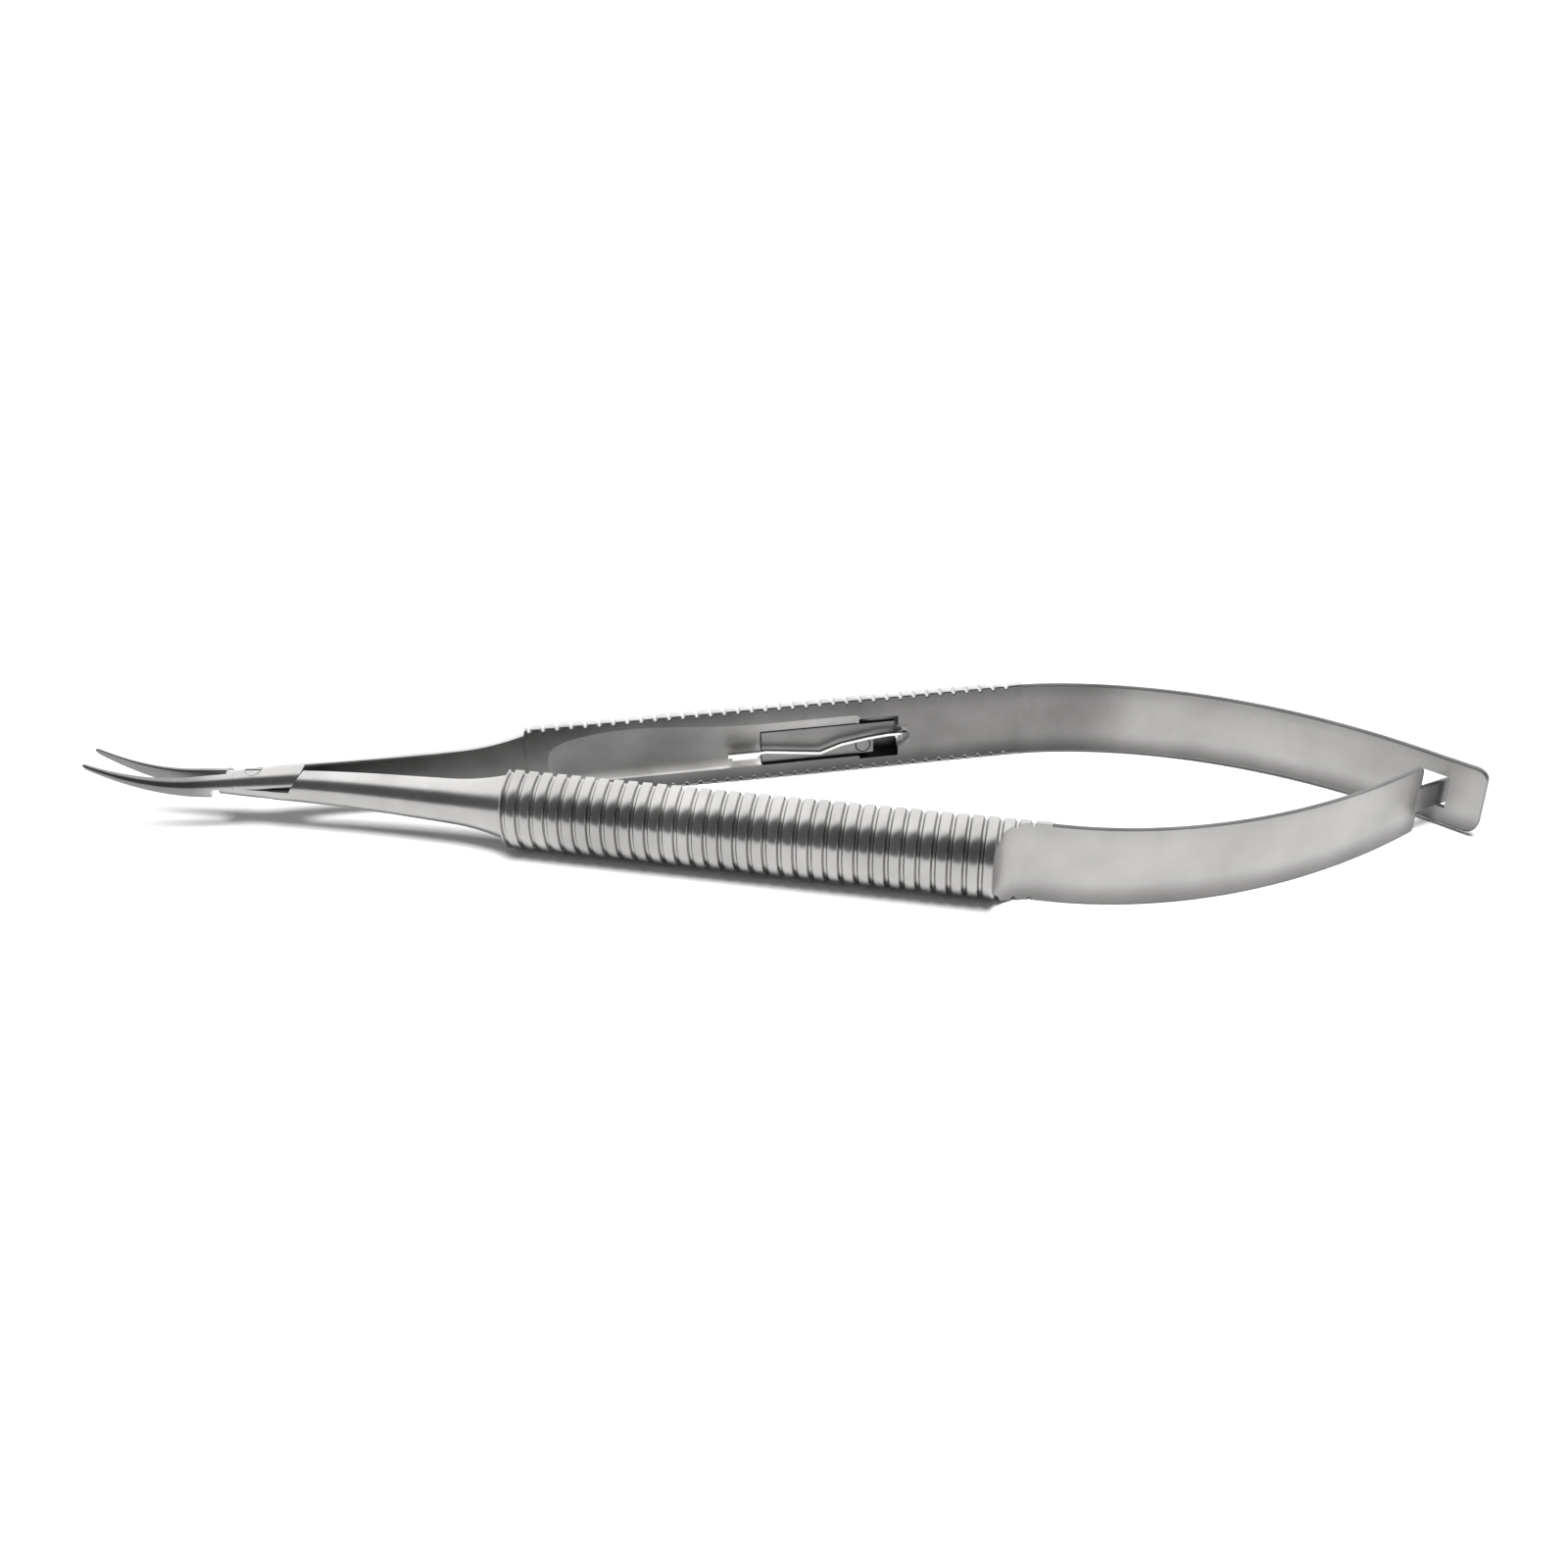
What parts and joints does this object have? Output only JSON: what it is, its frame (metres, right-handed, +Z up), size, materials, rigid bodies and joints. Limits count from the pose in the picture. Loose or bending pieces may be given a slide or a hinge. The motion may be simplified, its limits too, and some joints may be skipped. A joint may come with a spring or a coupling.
{
  "type": "needle holder",
  "caption": "Spring-handled micro needle holder: crossed arms with curved jaws, ribbed half-round handles, bowed leaves joined at the tail and an inner catch.",
  "frame": {"origin": "middle of the bottom of the instrument's bounding box as it lies on its side with the jaws open", "axes": "+X from the jaws to the spring tail, +Y towards the handle that carries the catch block, +Z up, along the pivot"},
  "size_m": [0.1322, 0.0332, 0.008],
  "materials": {
    "arm_steel": "satin stainless steel, polished on the outside of the shanks, jaws and ribs",
    "leaf_steel": "matt stainless steel with a fine grain across the leaf",
    "screw_steel": "satin stainless steel, flush with the joint",
    "catch_steel": "matt dark grey stainless steel",
    "strip_steel": "polished spring steel"
  },
  "bodies": {
    "near_arm": {"near_arm": "arm_steel", "pivot_screw": "screw_steel", "catch_hook": "catch_steel"},
    "far_arm": {"far_arm": "arm_steel", "catch_block": "catch_steel", "catch_block_pin": "catch_steel", "catch_spring_rivet": "catch_steel"},
    "near_leaf": {"near_spring_leaf": "leaf_steel"},
    "far_leaf": {"far_spring_leaf": "leaf_steel"},
    "catch_spring": {"catch_spring": "strip_steel"}
  },
  "joints": [
    {"name": "jaw_pivot", "type": "hinge", "parent": "near_arm", "child": "far_arm", "pos_m": [-0.05029, 0, 0.00438], "axis": [0, 0, -1], "range_deg": [0, 10.8], "stiffness_Nm_per_rad": 1.2},
    {"name": "near_leaf_flex", "type": "hinge", "parent": "near_arm", "child": "near_leaf", "pos_m": [0.02502, -0.01401, 0.004], "axis": [0, 0, -1], "range_deg": [0, 16.2]},
    {"name": "far_leaf_flex", "type": "hinge", "parent": "far_arm", "child": "far_leaf", "pos_m": [0.02502, 0.01401, 0.004], "axis": [0, 0, 1], "range_deg": [0, 16.2]},
    {"name": "catch_spring_flex", "type": "hinge", "parent": "far_arm", "child": "catch_spring", "pos_m": [0.01304, 0.01098, 0.00393], "axis": [-0.1945, 0.9809, 0], "range_deg": [0, 3], "stiffness_Nm_per_rad": 0.01}
  ],
  "couplings": [
    {"joint": "near_leaf_flex", "follows": "jaw_pivot", "ratio": 1.484},
    {"joint": "far_leaf_flex", "follows": "jaw_pivot", "ratio": 1.484}
  ]
}
